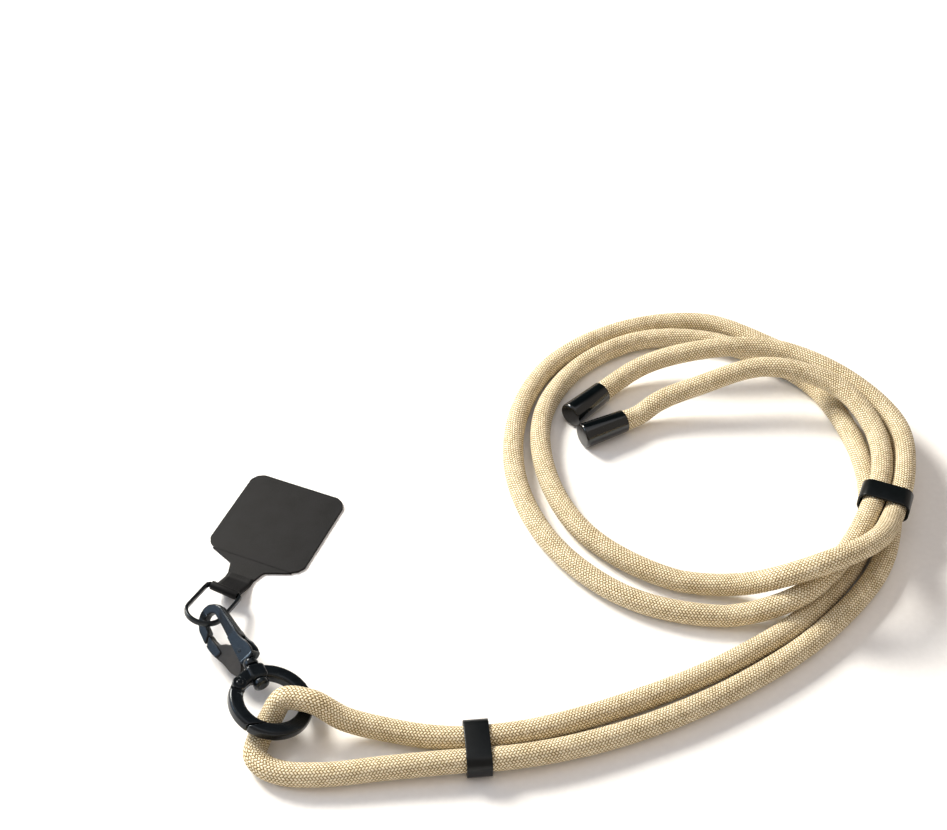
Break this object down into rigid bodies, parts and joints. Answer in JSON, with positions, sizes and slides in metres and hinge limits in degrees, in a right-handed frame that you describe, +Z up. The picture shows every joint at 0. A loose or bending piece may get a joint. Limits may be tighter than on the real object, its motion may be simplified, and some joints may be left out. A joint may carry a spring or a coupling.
{
  "type": "phone crossbody strap",
  "caption": "Braided cord strap folded through a black gate ring, with slider bands, end caps, swivel clasp, D-ring and flat tether tab, lying in a loose coil.",
  "frame": {"origin": "bottom centre of the box of the hard pieces, on the surface that the strap lies on", "axes": "+Z up, +X along the two straight strands from the ring to the coil, +Y away from the viewer of the picture"},
  "size_m": [0.2437, 0.2063, 0.0239],
  "materials": {
    "beige_braid": "fine diagonal braid",
    "gloss_black_cap": "gloss",
    "satin_black_band": "satin black",
    "black_plated_metal": "gloss black plating",
    "black_sheet": "matte coated sheet"
  },
  "bodies": {
    "cord_and_ring": {"cord": "beige_braid", "end_cap_a": "gloss_black_cap", "end_cap_b": "gloss_black_cap", "ring_slider": "satin_black_band", "coil_slider": "satin_black_band", "gate_ring": "black_plated_metal"},
    "ring_gate": {"ring_gate": "black_plated_metal"},
    "clasp": {"swivel_hook": "black_plated_metal"},
    "d_ring": {"d_ring": "black_plated_metal"},
    "hook_gate": {"hook_gate": "black_plated_metal"},
    "tab": {"tether_tab": "black_sheet"}
  },
  "joints": [
    {"name": "ring_gate_hinge", "type": "hinge", "parent": "cord_and_ring", "child": "ring_gate", "pos_m": [-0.0984, -0.05512, 0.01178], "axis": [0.3145, 0.0843, 0.9455], "range_deg": [0, 2], "stiffness_Nm_per_rad": 0.01, "springref_deg": -28.65},
    {"name": "clasp_swivel", "type": "hinge", "parent": "cord_and_ring", "child": "clasp", "pos_m": [-0.09624, -0.04523, 0.01018], "axis": [-0.4906, 0.8671, 0.0859], "continuous": true},
    {"name": "hook_gate_hinge", "type": "hinge", "parent": "clasp", "child": "hook_gate", "pos_m": [-0.09863, -0.04131, 0.01044], "axis": [-0.5509, -0.3851, 0.7404], "range_deg": [-12, 0], "stiffness_Nm_per_rad": 0.01, "springref_deg": 28.65},
    {"name": "d_ring_swing", "type": "hinge", "parent": "clasp", "child": "d_ring", "pos_m": [-0.11451, -0.03016, 0.01082], "axis": [0.9158, -0.3791, -0.1324], "range_deg": [-30, 4]},
    {"name": "tab_hinge", "type": "hinge", "parent": "d_ring", "child": "tab", "pos_m": [-0.10833, -0.01317, 0.00495], "axis": [0.9158, -0.3791, -0.1324], "range_deg": [-60, 90]}
  ]
}
